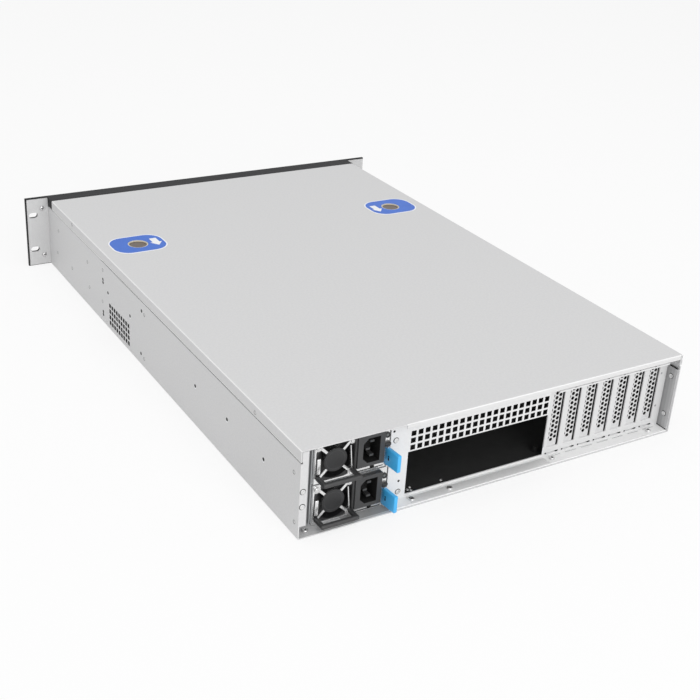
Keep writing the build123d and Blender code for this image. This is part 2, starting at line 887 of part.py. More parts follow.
def psu_latch(name, base):
    """Leaning release tab with a barrel that turns on the case's pin."""
    pin = (psu_right + tab_inset, psu_y + tab_root)
    lean = radians(tab_lean)
    face = Plane(
        origin=(pin[0], pin[1], base + tab_level),
        x_dir=(-sin(lean), cos(lean), 0),
        z_dir=(cos(lean), sin(lean), 0),
    )
    with BuildPart() as latch:
        with BuildSketch(face) as outline:
            span(0, tab_length, 0, tab_height)
            fillet(outline.vertices().group_by(Axis.X)[-1], tab_corner)
        extrude(amount=tab_thickness / 2, both=True)
        with BuildSketch(at_z(base + tab_level)):
            with Locations(pin):
                Circle(tab_barrel / 2)
        extrude(amount=tab_height)
        with BuildSketch(at_z(base + tab_level)):
            with Locations(pin):
                Circle(tab_pin / 2 + pin_clearance)
        extrude(amount=tab_height, mode=Mode.SUBTRACT)
    save(f"psu_{name}_latch", latch.part)


def psu_fan(name, base):
    z = base + psu_height / 2
    back = psu_y - psu_steel
    depth = fan_small_depth
    fan_frame(f"psu_{name}_fan_frame", fan_small_x, z, back, fan_small, depth, fan_small_bore, fan_small_hub)
    fan_rotor(f"psu_{name}_fan_rotor", fan_small_x, z, back, depth, fan_small_bore, fan_small_hub, fan_small_chord)


def screws():
    """Heads of all fixing screws: on the rear lip, the slot tabs and, flush, in the ears."""
    foot = steel + lip_steel
    lip_y = rear_y - lip_screw_inset
    tops = [(io_left - inset, lip_y, foot - strip_sink) for inset in strip_screw_insets]
    tops.append((io_right - lip_screw_outset, lip_y, foot))
    tops.append((wall_screw_insets[1] - inner, lip_y, foot))
    tops.append((inner - wall_screw_insets[0], lip_y, steel))
    tops += [(x, panel_y + tab_screw_inset, panel_height + cover_plate_steel) for x in slot_places]
    with BuildPart() as heads:
        with Locations(*tops):
            Cylinder(screw_head / 2, screw_head_height, align=(Align.CENTER, Align.CENTER, Align.MIN))
        with BuildSketch(at_y(front_y)):
            for side in (-1, 1):
                with Locations(*ear_screw_places(side)):
                    Circle(screw_head / 2)
        extrude(amount=ear_steel)
    save("screws", heads.part)


def power_button():
    """Push button with a collar behind the front plate."""
    with BuildPart() as button:
        with BuildSketch(at_y(plate_back + power_gap)):
            with Locations((power_across, power_level)):
                Circle(power_diameter / 2)
        extrude(amount=power_gap + plate_thickness + power_proud)
        with BuildSketch(at_y(plate_back + power_gap + power_collar)):
            with Locations((power_across, power_level)):
                Circle(power_diameter / 2 + power_collar)
        extrude(amount=power_collar)
    save("power_button", button.part)


chassis_tray()
rear_panel()
for slot_number, slot_x in enumerate(slot_places, 1):
    slot_cover(slot_number, slot_x)
top_cover()
for side_name, side_sign in (("left", 1), ("right", -1)):
    cover_label(side_name, side_sign * latch_span / 2)
    latch_cup(side_name, side_sign * latch_span / 2)
    cover_button(side_name, side_sign * latch_span / 2)
    ear(side_name, side_sign)
front_bezel()
drive_cage()
backplane()
for bay_number, (bay_x, bay_z) in enumerate(bay_places(), 1):
    drive_tray(bay_number, bay_x, bay_z)
    tray_lever(bay_number, bay_x, bay_z)
fan_wall()
system_fans()
psu_cage()
power_board()
for psu_name, psu_base in zip(("lower", "upper"), psu_bases()):
    psu_case(psu_name, psu_base)
    psu_inlet(psu_name, psu_base)
    psu_handle(psu_name, psu_base)
    psu_latch(psu_name, psu_base)
    psu_fan(psu_name, psu_base)
screws()
power_button()
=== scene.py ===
import bpy
from math import pi, radians
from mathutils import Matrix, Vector


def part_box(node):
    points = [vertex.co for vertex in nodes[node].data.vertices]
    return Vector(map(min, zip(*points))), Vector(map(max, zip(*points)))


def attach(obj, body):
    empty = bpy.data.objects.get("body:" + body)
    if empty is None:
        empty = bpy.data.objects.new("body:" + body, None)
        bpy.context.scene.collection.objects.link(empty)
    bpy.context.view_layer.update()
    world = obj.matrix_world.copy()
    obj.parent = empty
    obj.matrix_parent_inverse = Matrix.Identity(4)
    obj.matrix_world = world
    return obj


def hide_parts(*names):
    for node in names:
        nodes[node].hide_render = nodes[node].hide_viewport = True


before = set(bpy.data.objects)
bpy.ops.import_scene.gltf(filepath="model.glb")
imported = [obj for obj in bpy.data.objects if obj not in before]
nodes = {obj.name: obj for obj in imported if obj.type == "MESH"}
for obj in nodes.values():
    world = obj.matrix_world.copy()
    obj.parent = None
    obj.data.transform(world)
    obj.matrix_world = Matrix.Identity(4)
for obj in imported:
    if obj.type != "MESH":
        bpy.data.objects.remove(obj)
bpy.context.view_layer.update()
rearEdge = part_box("chassis_tray")[1].y
print("frame loaded,", len(nodes), "nodes")

# planes and places of the CAD pieces that the details stand on, in millimetres
wallFace = 214
panelFace = -15
flapFace = -211.6
slotPitch = 20.32
slotMiddles = [-73 - slotPitch * number for number in range(7)]

upward = (0, 0, 0)
rearward = (-pi / 2, 0, 0)
sideward = (0, pi / 2, 0)


def mm(*values):
    return tuple(value / 1000 for value in values)


def fromRear(x, y, z):
    # a place in millimetres, with y counted from the rear edge of the floor
    return Vector((x / 1000, rearEdge + y / 1000, z / 1000))


def onRear(places, y):
    # places given as x and z, on a plane that faces the rear
    return [fromRear(x, y, z) for x, z in places]


def onSide(places, x):
    # places given as y and z, on a plane that faces a side
    return [fromRear(x, y, z) for y, z in places]


def clearSelection():
    if bpy.context.object and bpy.context.object.mode != "OBJECT":
        bpy.ops.object.mode_set(mode="OBJECT")
    bpy.ops.object.select_all(action="DESELECT")


def takeUp(piece):
    clearSelection()
    piece.select_set(True)
    bpy.context.view_layer.objects.active = piece


def block(name, middle, size):
    clearSelection()
    bpy.ops.mesh.primitive_cube_add(size=1, location=middle, scale=size)
    piece = bpy.context.object
    piece.name = name
    bpy.ops.object.transform_apply(location=False, rotation=False, scale=True)
    return piece


def disc(name, middle, radius, depth, turn=upward, sides=32):
    clearSelection()
    bpy.ops.mesh.primitive_cylinder_add(
        vertices=sides, radius=radius / 1000, depth=depth / 1000, location=middle, rotation=turn)
    piece = bpy.context.object
    piece.name = name
    return piece


def startPick(piece, kind):
    # nothing of the mesh is selected, and faces or edges can be picked in object mode
    takeUp(piece)
    bpy.ops.object.mode_set(mode="EDIT")
    bpy.ops.mesh.select_mode(type=kind)
    bpy.ops.mesh.select_all(action="DESELECT")
    bpy.ops.object.mode_set(mode="OBJECT")


def pickFaces(piece, test):
    # leaves the piece in edit mode with the faces selected that pass the test
    startPick(piece, "FACE")
    for face in piece.data.polygons:
        face.select = test(face)
    bpy.ops.object.mode_set(mode="EDIT")


def pickEdges(piece, test):
    startPick(piece, "EDGE")
    points = piece.data.vertices
    for edge in piece.data.edges:
        edge.select = test(points[edge.vertices[0]].co, points[edge.vertices[1]].co)
    bpy.ops.object.mode_set(mode="EDIT")


def pickAll(piece):
    takeUp(piece)
    bpy.ops.object.mode_set(mode="EDIT")
    bpy.ops.mesh.select_all(action="SELECT")


def backToObject():
    bpy.ops.object.mode_set(mode="OBJECT")


# a face looks along an axis when more than this share of its normal does
alongAxis = 0.9


def facing(axis, sign=1, least=alongAxis):
    return lambda face: sign * getattr(face.normal, axis) > least


def drawOut(x, y, z):
    bpy.ops.mesh.extrude_region_move(TRANSFORM_OT_translate={"value": mm(x, y, z)})


def sinkIn(piece, test, rim, shift):
    # leaves a rim round the picked face and draws the rest of it in
    pickFaces(piece, test)
    bpy.ops.mesh.inset(thickness=rim / 1000)
    drawOut(*shift)
    backToObject()


def roundOff(piece, width, segments=2, angle=30):
    takeUp(piece)
    bevel = piece.modifiers.new("roundOff", "BEVEL")
    bevel.width = width / 1000
    bevel.segments = segments
    bevel.limit_method = "ANGLE"
    bevel.angle_limit = radians(angle)
    bpy.ops.object.modifier_apply(modifier=bevel.name)


def smoothOver(piece, angle=35):
    takeUp(piece)
    bpy.ops.object.shade_smooth_by_angle(angle=radians(angle))


def settle(piece):
    takeUp(piece)
    bpy.ops.object.transform_apply(location=True, rotation=True, scale=True)


def mount(piece, body, finish):
    settle(piece)
    piece.data.materials.clear()
    piece.data.materials.append(finishes[finish])
    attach(piece, body)
    return piece


def stamp(name, pattern, places, turn=upward):
    # a copy of the pattern with its own mesh at each place, all joined in one piece
    copies = []
    for place in places:
        takeUp(pattern)
        bpy.ops.object.duplicate(linked=False)
        copy = bpy.context.object
        copy.location = place
        copy.rotation_euler = turn
        copies.append(copy)
    joined = join(name, copies)
    settle(joined)
    return joined


def join(name, pieces):
    takeUp(pieces[0])
    for piece in pieces:
        piece.select_set(True)
    bpy.ops.object.join()
    joined = bpy.context.object
    joined.name = name
    return joined


def discard(piece):
    bpy.data.objects.remove(piece, do_unlink=True)


def spread(name, pattern, places, turn, finish, body="chassis"):
    return mount(stamp(name, pattern, places, turn), body, finish)


def prism(name, low, high, edge):
    # a block between two corners in millimetres, counted from the rear edge, with its edges rounded
    first = fromRear(*low)
    second = fromRear(*high)
    piece = block(name, (first + second) / 2, [abs(b - a) for a, b in zip(first, second)])
    settle(piece)
    if edge:
        roundOff(piece, edge, segments=3)
        smoothOver(piece)
    return piece


def dot(radius, thick=0.1, edge=0.03, sides=20):
    # a thin round film, half of it on each side of its place
    film = disc("dotPattern", (0, 0, 0), radius, thick, sides=sides)
    roundOff(film, edge, segments=1)
    return film


# edge and depth are shares of the head's height, recess is a share of its radius
headLook = dict(sides=32, edge=0.4, depth=0.4, recess=0.42)


def panHead(radius, height, recess=headLook["recess"]):
    # screw head standing on its origin, domed, with a recess for the driver
    look = headLook
    edge = height * look["edge"]
    head = disc("headPattern", mm(0, 0, height / 2), radius, height, sides=look["sides"])
    settle(head)
    roundOff(head, edge, segments=3, angle=60)
    sinkIn(head, facing("z", least=0.99), radius * (1 - recess) - edge, (0, 0, -height * look["depth"]))
    smoothOver(head)
    return head


def grey(value, blue=0):
    return (value, value, value + blue)


deepShade = grey(0.012)
# painted shade on the flap on the wall, lighter to the rear: where each step begins and ends, and its grey
flapShadeSteps = [(-16.3, -12.5, 0.27), (-12.5, -8.5, 0.34), (-8.5, -4.5, 0.42), (-4.5, 0.2, 0.50)]

finishLooks = {
    "zincSteel": dict(
        colour=grey(0.64, 0.002), second=grey(0.585, 0.005), metal=0.2, rough=(0.45, 0.6),
        grain=2600, bump=0.05, cloud=500,
        coats=[
            # the floor and its standoffs behind the port opening, and the walls of the side vents, in painted
            # deep shade
            ((-209, -430, 1.3), (117, -17, 9), deepShade),
            ((212.85, -455, 2), (213.88, -383, 38), deepShade),
            # painted shade on the floor's rear edge beside the lower handle, which is darker
            ((104, -14, 0.1), (166, -3, 1.3), grey(0.34)),
            # painted shade in the seam under the lid's side flange, darker to the rear
            ((212.3, -657, 75.9), (214.2, 1, 77.5), grey(0.25)),
            ((212.3, -470, 75.6), (214.2, 1, 77.5), grey(0.03)),
        ]),
    "coverSteel": dict(
        colour=grey(0.635, 0.002), second=grey(0.595, 0.005), metal=0.15, rough=(0.5, 0.64),
        grain=2200, bump=0.06, cloud=420,
        coats=[
            # painted highlights on the fold over the side flange and on the flange's lower edge
            ((213.1, -656, 87.2), (214.2, 0.2, 88.1), grey(0.82)),
            ((213.0, -656, 76.9), (214.2, 0.2, 77.5), grey(0.85)),
            # a painted highlight on the rear fold, and painted light on the hem below it
            ((-214.2, -0.8, 87.3), (111, 0.2, 88.1), grey(0.80)),
            ((-214.2, -1.3, 82), (111, 0.2, 87.3), grey(0.66)),
        ]),
    "panelSteel": dict(
        colour=grey(0.745), second=grey(0.71, 0.005), metal=0.1, rough=(0.46, 0.6),
        grain=2600, bump=0.04, cloud=500,
        coats=[
            ((-213, back, 2.9), (-211.3, front, 71.2), grey(value, 0.005)) for back, front, value in flapShadeSteps
        ] + [
            # the walls of the vents over the port opening in painted deep shade, the face round the slots,
            # and the foot in painted light
            ((-63, -16.18, 49.6), (98, -15.12, 69.8), deepShade),
            ((-213, -15.05, 2.3), (-62, -14.9, 78), grey(0.655, 0.002)),
            ((-211, -14.9, 1.0), (120, 0.1, 2.4), grey(0.88)),
        ]),
    "plateSteel": dict(
        colour=grey(0.635), second=grey(0.59, 0.005), metal=0.15, rough=(0.45, 0.58),
        grain=2600, bump=0.04, cloud=500,
        # painted deep shade in the walls of the holes in the slot covers
        coats=[((-220, -17.05, 8), (-60, -16.28, 77), deepShade)]),
    "innerSteel": dict(
        colour=(0.60, 0.61, 0.62), second=(0.50, 0.51, 0.52), metal=0.45, rough=(0.35, 0.5),
        grain=1800, bump=0.05, cloud=25),
    "screwSteel": dict(
        colour=grey(0.80), second=grey(0.62), metal=0.9, rough=(0.22, 0.32),
        grain=3000, bump=0.02, cloud=200),
    "guardSteel": dict(
        colour=grey(0.86), second=grey(0.70), metal=0.8, rough=(0.18, 0.32),
        grain=1500, bump=0.05, cloud=90),
    # its noise is drawn out along the width, as lines
    "blackSteel": dict(
        colour=grey(0.010, 0.001), second=grey(0.030, 0.002), rough=(0.5, 0.65),
        grain=4000, bump=0.05, cloud=420, stretch=(0.004, 1, 1), specular=0.15),
    "greyPlastic": dict(
        colour=grey(0.034, 0.001), second=grey(0.042, 0.001), rough=(0.42, 0.55),
        grain=5200, bump=0.06, cloud=60),
    # black plastic parts, and painted shade in the screws' recesses
    "blackPlasticAndShade": dict(
        colour=grey(0.014, 0.001), second=grey(0.022, 0.001), rough=(0.35, 0.5),
        grain=5200, bump=0.04, cloud=60),
    "tabBlue": dict(
        colour=(0.062, 0.45, 0.86), second=(0.057, 0.425, 0.83), rough=(0.28, 0.38),
        grain=5200, bump=0.02, cloud=50),
    "labelBlue": dict(
        colour=(0.030, 0.145, 0.60), second=(0.025, 0.125, 0.55), rough=(0.32, 0.42),
        grain=4000, bump=0.02, cloud=60, specular=0.25),
    "creamPlastic": dict(
        colour=(0.70, 0.64, 0.50), second=(0.62, 0.56, 0.43), rough=(0.35, 0.5),
        grain=4200, bump=0.03, cloud=80),
    "brownPlastic": dict(
        colour=(0.085, 0.060, 0.045), second=(0.11, 0.08, 0.06), rough=(0.3, 0.45),
        grain=3000, bump=0.05, cloud=120),
    "boardGreen": dict(
        colour=(0.02, 0.13, 0.05), second=(0.03, 0.18, 0.08), rough=(0.3, 0.45),
        grain=900, bump=0.05, cloud=180),
    # the black of holes, slits and marks, and painted shade in gaps, at the flap and in the power socket
    "holeShadeAndMarkBlack": dict(
        colour=grey(0.013), second=grey(0.019), rough=(0.7, 0.85),
        grain=3000, bump=0.02, cloud=100, specular=0.08),
    # a black sheet that stands for painted shade on the floor inside
    "shadeSheetBlack": dict(
        colour=grey(0.030), second=grey(0.036), rough=(0.55, 0.7),
        grain=3000, bump=0.02, cloud=100, specular=0.1),
    # dark behind their tips, as the socket shades them
    "pinBright": dict(
        colour=grey(0.97, -0.02), second=grey(0.92, -0.02), rough=(0.3, 0.4),
        grain=2000, cloud=150,
        coats=[((100, -30, 0), (200, -8.9, 88), grey(0.03))]),
    # white print, and painted highlights under the open holes
    "whitePaintAndHighlight": dict(
        colour=(0.86, 0.87, 0.88), second=(0.80, 0.81, 0.83), rough=(0.4, 0.5),
        grain=4000, bump=0.02, cloud=90),
    # grey for the strips in the side gap and the panel's dimples, and painted shade in the cuts of the
    # panel's foot
    "stripGrey": dict(
        colour=(0.30, 0.31, 0.32), second=(0.38, 0.39, 0.40), metal=0.4, rough=(0.35, 0.5),
        grain=1500, bump=0.05, cloud=60),
    "stripLight": dict(
        colour=grey(0.76), second=grey(0.71), metal=0.1, rough=(0.5, 0.6),
        grain=1500, bump=0.04, cloud=400),
    # dark as painted shade: the rivets and dimples on the walls and the rings round rivet heads
    "paintedRivetShade": dict(
        colour=grey(0.055), second=grey(0.035), metal=0.2, rough=(0.5, 0.6),
        grain=2000, bump=0.02, cloud=300, specular=0.2),
    "lampClear": dict(
        colour=(0.16, 0.17, 0.17), second=(0.10, 0.11, 0.11), rough=(0.1, 0.2),
        grain=2000, cloud=150),
}


def reckon(tree, operation, *values):
    # a math node on numbers and on the outputs of other nodes
    node = tree.nodes.new("ShaderNodeMath")
    node.operation = operation
    for socket, value in zip(node.inputs, values):
        if isinstance(value, (int, float)):
            socket.default_value = value
        else:
            tree.links.new(value, socket)
    return node.outputs[0]


def mixColours(tree, share, first, second):
    # the first colour, with the second one where the share is 1; 6, 7 and 2 are the colour sockets
    mix = tree.nodes.new("ShaderNodeMix")
    mix.data_type = "RGBA"
    tree.links.new(share, mix.inputs[0])
    tree.links.new(first, mix.inputs[6])
    mix.inputs[7].default_value = (*second, 1)
    return mix.outputs[2]


def coatInside(tree, place, colour, coat):
    # the colour, with another one on what lies between two corners in millimetres from the rear edge
    low = fromRear(*coat[0])
    high = fromRear(*coat[1])
    split = tree.nodes.new("ShaderNodeSeparateXYZ")
    tree.links.new(place, split.inputs[0])
    inside = []
    for axis in range(3):
        middle = (low[axis] + high[axis]) / 2
        reach = (high[axis] - low[axis]) / 2
        inside.append(reckon(tree, "COMPARE", split.outputs[axis], middle, reach))
    share = reckon(tree, "MULTIPLY", reckon(tree, "MULTIPLY", inside[0], inside[1]), inside[2])
    return mixColours(tree, share, colour, coat[2])


# what a finish has when it says nothing else, and how its two noises are used
plainLook = dict(metal=0, specular=0.5, stretch=(1, 1, 1), bump=0, coats=[])
grainLook = dict(
    cloudDetail=5, grainDetail=3, cloudShare=0.5, grainShare=0.5, dark=0.38, light=0.62, relief=0.2)


def makeFinish(name, look):
    # two tones blended by a coarse and a fine noise; the fine one also moves roughness and relief
    look = {**plainLook, **look}
    material = bpy.data.materials.new(name)
    material.use_nodes = True
    tree = material.node_tree
    shader = tree.nodes["Principled BSDF"]
    shader.inputs["Metallic"].default_value = look["metal"]
    shader.inputs["Specular IOR Level"].default_value = look["specular"]
    place = tree.nodes.new("ShaderNodeTexCoord")
    stretch = tree.nodes.new("ShaderNodeMapping")
    stretch.inputs["Scale"].default_value = look["stretch"]
    tree.links.new(place.outputs["Object"], stretch.inputs["Vector"])
    noises = []
    for size, detail in (("cloud", "cloudDetail"), ("grain", "grainDetail")):
        noise = tree.nodes.new("ShaderNodeTexNoise")
        noise.inputs["Scale"].default_value = look[size]
        noise.inputs["Detail"].default_value = grainLook[detail]
        tree.links.new(stretch.outputs["Vector"], noise.inputs["Vector"])
        noises.append(noise.outputs["Fac"])
    cloud, grain = noises
    fine = reckon(tree, "MULTIPLY", grain, grainLook["grainShare"])
    tone = tree.nodes.new("ShaderNodeValToRGB")
    ends = tone.color_ramp.elements
    ends[0].position = grainLook["dark"]
    ends[0].color = (*look["second"], 1)
    ends[1].position = grainLook["light"]
    ends[1].color = (*look["colour"], 1)
    blend = reckon(tree, "MULTIPLY_ADD", cloud, grainLook["cloudShare"], fine)
    tree.links.new(blend, tone.inputs["Fac"])
    colour = tone.outputs["Color"]
    for coat in look["coats"]:
        colour = coatInside(tree, place.outputs["Object"], colour, coat)
    tree.links.new(colour, shader.inputs["Base Color"])
    sheen = tree.nodes.new("ShaderNodeMapRange")
    sheen.inputs["To Min"].default_value = look["rough"][0]
    sheen.inputs["To Max"].default_value = look["rough"][1]
    tree.links.new(grain, sheen.inputs["Value"])
    tree.links.new(sheen.outputs["Result"], shader.inputs["Roughness"])
    if look["bump"]:
        relief = tree.nodes.new("ShaderNodeBump")
        relief.inputs["Strength"].default_value = look["bump"]
        relief.inputs["Distance"].default_value = grainLook["relief"] / 1000
        tree.links.new(grain, relief.inputs["Height"])
        tree.links.new(relief.outputs["Normal"], shader.inputs["Normal"])
    return material


finishes = {name: makeFinish(name, look) for name, look in finishLooks.items()}

labelLook = dict(span=338, latchBack=471, length=64, width=49, corner=19, line=1.5, white=(0.84, 0.85, 0.87))


def lineTheLabels():
    # a white line round the rounded edge of the blue film, drawn by the distance to that edge
    look = labelLook
    tree = finishes["labelBlue"].node_tree
    base = tree.nodes["Principled BSDF"].inputs["Base Color"]
    blue = base.links[0].from_socket

    def step(operation, *values):
        return reckon(tree, operation, *values)

    place = tree.nodes.new("ShaderNodeTexCoord")
    split = tree.nodes.new("ShaderNodeSeparateXYZ")
    tree.links.new(place.outputs["Object"], split.inputs[0])
    corner = look["corner"] / 1000
    acrossMiddle = step("SUBTRACT", step("ABSOLUTE", split.outputs["X"]), look["span"] / 2000)
    alongMiddle = step("SUBTRACT", split.outputs["Y"], rearEdge - look["latchBack"] / 1000)
    across = step("SUBTRACT", step("ABSOLUTE", acrossMiddle), look["length"] / 2000 - corner)
    along = step("SUBTRACT", step("ABSOLUTE", alongMiddle), look["width"] / 2000 - corner)
    outX = step("MAXIMUM", across, 0)
    outY = step("MAXIMUM", along, 0)
    outside = step("SQRT", step("ADD", step("MULTIPLY", outX, outX), step("MULTIPLY", outY, outY)))
    inside = step("MINIMUM", step("MAXIMUM", across, along), 0)
    toEdge = step("SUBTRACT", step("ADD", outside, inside), corner)
    inLine = step("GREATER_THAN", toEdge, -look["line"] / 1000)
    tree.links.new(mixColours(tree, inLine, blue, look["white"]), base)


lineTheLabels()
print("finishes made")

# the first entry whose text is in a node's name gives its finish
nodeFinishes = [
    ("chassis_tray", "zincSteel"), ("rear_panel", "panelSteel"), ("slot_cover", "plateSteel"),
    ("top_cover", "coverSteel"), ("cover_label", "labelBlue"), ("latch_cup", "creamPlastic"),
    ("cover_button", "brownPlastic"), ("ear_", "plateSteel"), ("front_bezel", "blackSteel"),
    ("drive_cage", "innerSteel"), ("backplane", "boardGreen"), ("drive_tray", "blackPlasticAndShade"),
    ("tray_lever", "greyPlastic"), ("fan_wall", "innerSteel"), ("fan_frame", "blackPlasticAndShade"),
    ("fan_rotor", "greyPlastic"), ("psu_cage", "innerSteel"), ("power_board", "boardGreen"),
    ("_case", "guardSteel"), ("_inlet", "greyPlastic"), ("_handle", "greyPlastic"),
    ("_latch", "tabBlue"), ("screws", "screwSteel"), ("power_button", "greyPlastic"),
]
for nodeName, node in nodes.items():
    finish = next(name for part, name in nodeFinishes if part in nodeName)
    node.data.materials.clear()
    node.data.materials.append(finishes[finish])
print("frame nodes finished")

shot = dict(
    place=(0.627701, rearEdge + 0.719281, 0.597928), turn=(63.372, -3.379, 149.452),
    focal=61.3, sensor=36, near=0.05, far=60,
)


def setCamera():
    lens = bpy.data.cameras.new("shotCamera")
    lens.sensor_width = shot["sensor"]
    lens.lens = shot["focal"]
    lens.clip_start = shot["near"]
    lens.clip_end = shot["far"]
    camera = bpy.data.objects.new("shotCamera", lens)
    bpy.context.scene.collection.objects.link(camera)
    camera.location = shot["place"]
    camera.rotation_euler = [radians(angle) for angle in shot["turn"]]
    bpy.context.scene.camera = camera


studio = dict(floorSize=9, floorGrey=0.86, floorRough=0.9, whiteShare=0.8, skyStrength=0.62)
white = (1, 1, 1, 1)
lamps = [
    dict(name="rearSoftbox", place=(0.2, 3.2, 1.1), aim=(0, 0.2, 0.0), size=2.4, power=52),
    dict(name="topSoftbox", place=(0.3, 0.4, 2.8), aim=(0, 0, 0), size=2.6, power=26),
    dict(name="sideSoftbox", place=(3.2, -0.6, 1.2), aim=(0, 0, 0), size=2.0, power=7.6),
]


def seenDirectly(tree):
    # 1 for camera, glossy and transmission rays
    rays = tree.nodes.new("ShaderNodeLightPath").outputs
    bounced = reckon(tree, "MAXIMUM", rays["Is Camera Ray"], rays["Is Glossy Ray"])
    return reckon(tree, "MAXIMUM", bounced, rays["Is Transmission Ray"])


def mixShaders(tree, share, first, second, output):
    mix = tree.nodes.new("ShaderNodeMixShader")
    for socket, value in zip(mix.inputs, (share, first, second)):
        tree.links.new(value, socket)
    tree.links.new(mix.outputs[0], tree.nodes[output].inputs["Surface"])


def setFloor():
    # paper that takes the shadow, made nearly white for the camera by some light of its own
    clearSelection()
    bpy.ops.mesh.primitive_plane_add(size=studio["floorSize"], location=(0, 0, 0))
    floor = bpy.context.object
    floor.name = "studioFloor"
    material = bpy.data.materials.new("floorPaper")
    material.use_nodes = True
    tree = material.node_tree
    paper = tree.nodes["Principled BSDF"]
    paper.inputs["Base Color"].default_value = (*grey(studio["floorGrey"]), 1)
    paper.inputs["Roughness"].default_value = studio["floorRough"]
    glow = tree.nodes.new("ShaderNodeEmission")
    share = reckon(tree, "MULTIPLY", seenDirectly(tree), studio["whiteShare"])
    mixShaders(tree, share, paper.outputs[0], glow.outputs[0], "Material Output")
    floor.data.materials.append(material)


def setWorld():
    # a dimmer sky for the light than for the camera
    world = bpy.data.worlds.new("studioWorld")
    bpy.context.scene.world = world
    world.use_nodes = True
    tree = world.node_tree
    sky = tree.nodes["Background"]
    sky.inputs["Color"].default_value = white
    sky.inputs["Strength"].default_value = studio["skyStrength"]
    backdrop = tree.nodes.new("ShaderNodeBackground")
    backdrop.inputs["Color"].default_value = white
    mixShaders(tree, seenDirectly(tree), sky.outputs[0], backdrop.outputs[0], "World Output")


def setLamps():
    for lamp in lamps:
        light = bpy.data.lights.new(lamp["name"], "AREA")
        light.size = lamp["size"]
        light.energy = lamp["power"]
        holder = bpy.data.objects.new(lamp["name"], light)
        bpy.context.scene.collection.objects.link(holder)
        holder.location = lamp["place"]
        toward = Vector(lamp["aim"]) - Vector(lamp["place"])
        holder.rotation_euler = toward.to_track_quat("-Z", "Y").to_euler()


setCamera()
setFloor()
setWorld()
setLamps()
bpy.context.scene.view_settings.view_transform = "Standard"
print("camera and studio set")

# places as y from the rear edge and z; the first holes are open ones, with a painted highlight on the lower
# rim
wallMarks = dict(
    rivets=[(-618, 57), (-625, 26), (-572, 26), (-515, 56), (-511, 26), (-464, 66), (-468, 26), (-341, 63.5),
            (-343.5, 11), (-11, 62), (-7, 14.6)],
    flange=[(-565, 84), (-84.5, 80.5)], radius=1.9, height=0.25, dentRim=0.5, dent=0.2, sides=20,
    holes=[(-449.3, 44.1), (-382.5, 44.6), (-211.6, 43.9), (-140.2, 44.3), (-66, 43.2), (-348.6, 65.1),
           (-352.6, 13.5), (-464.3, 54.6), (-464.3, 50.8), (-466.5, 14), (-466.5, 10.2)],
    holeRadius=1.9, openHoles=5, litDrop=1.2, litThick=0.06, litEdge=0.02,
)


def sideMarks():
    look = wallMarks
    rivet = disc("rivetPattern", (0, 0, 0), look["radius"], look["height"], sides=look["sides"])
    pickFaces(rivet, facing("z"))
    bpy.ops.mesh.inset(thickness=look["dentRim"] / 1000)
    bpy.ops.transform.translate(value=mm(0, 0, -look["dent"]))
    backToObject()
    smoothOver(rivet)
    # the rivets and the flange's dimples are painted dark, as shade in their dents
    spread("wallRivets", rivet, onSide(look["rivets"], wallFace), sideward, "paintedRivetShade")
    dimples = onSide(look["flange"], wallFace)
    spread("flangeDimples", rivet, dimples, sideward, "paintedRivetShade", "cover")
    discard(rivet)
    hole = dot(look["holeRadius"])
    spread("wallHoles", hole, onSide(look["holes"], wallFace), sideward, "holeShadeAndMarkBlack")
    discard(hole)
    # white discs below the open holes: painted highlights on their lower rims
    rim = dot(look["holeRadius"], look["litThick"], look["litEdge"])
    lowered = [(y, z - look["litDrop"]) for y, z in look["holes"][:look["openHoles"]]]
    spread("wallHoleHighlights", rim, onSide(lowered, wallFace), sideward, "whitePaintAndHighlight")
    discard(rim)


sideMarks()
print("side wall marked")

arrowLook = dict(
    middle=148, width=14, shaft=8.1, back=-481, neck=-469, tip=-460, film=0.115, top=88.05, point=0.05)


def labelArrows():
    # a flat shaft, widened at its end and drawn to a point
    look = arrowLook
    for side, name in ((1, "left"), (-1, "right")):
        middle = side * look["middle"]
        half = look["shaft"] / 2
        low = (middle - half, look["back"], look["top"])
        arrow = prism(f"labelArrow_{name}", low, (middle + half, look["neck"], look["top"] + look["film"]), 0)
        neck = fromRear(middle, look["neck"], 0)
        pickFaces(arrow, facing("y"))
        bpy.ops.mesh.extrude_region_move()
        bpy.ops.transform.resize(value=(look["width"] / look["shaft"], 1, 1), center_override=neck)
        drawOut(0, look["tip"] - look["neck"], 0)
        bpy.ops.transform.resize(value=(look["point"], 1, 1), center_override=neck)
        backToObject()
        mount(arrow, "cover", "whitePaintAndHighlight")


labelArrows()
print("label arrows made")

filmLook = dict(left=116, right=-211.2, rear=-16.35, front=-389, bottom=1.25, top=1.55, rim=42, thick=0.3)


def floorShadeSheet():
    # a thin black sheet on the floor, turned up along the far wall, standing for the shade inside behind the
    # port opening
    look = filmLook
    low = (look["right"], look["front"], look["bottom"])
    film = prism("floorShadeSheet", low, (look["left"], look["rear"], look["top"]), 0)
    edge = look["right"] / 1000
    pickFaces(film, facing("x", -1))
    drawOut(-look["thick"], 0, 0)
    backToObject()
    pickFaces(film, lambda face: face.normal.z > alongAxis and face.center.x < edge)
    drawOut(0, 0, look["rim"])
    backToObject()
    mount(film, "chassis", "shadeSheetBlack")


floorShadeSheet()
print("floor film laid")

# stands are the places under the heads on strip, foot and floor; shade is half a dark disc's thickness
screwLook = dict(
    radius=2.8, height=1.9, recess=1.05, shade=0.05,
    stands=[(93.5, -7.5, 1.7), (52, -7.5, 1.7), (-68, -7.5, 2.2), (-193, -7.5, 2.2), (203, -7.5, 1.2)],
    tabLine=-9.5, tabTop=78.5,
    ears=[(side * 221.5, level) for side in (-1, 1) for level in (13.5, 74.5)], earFace=-658, earHeight=3.4,
)


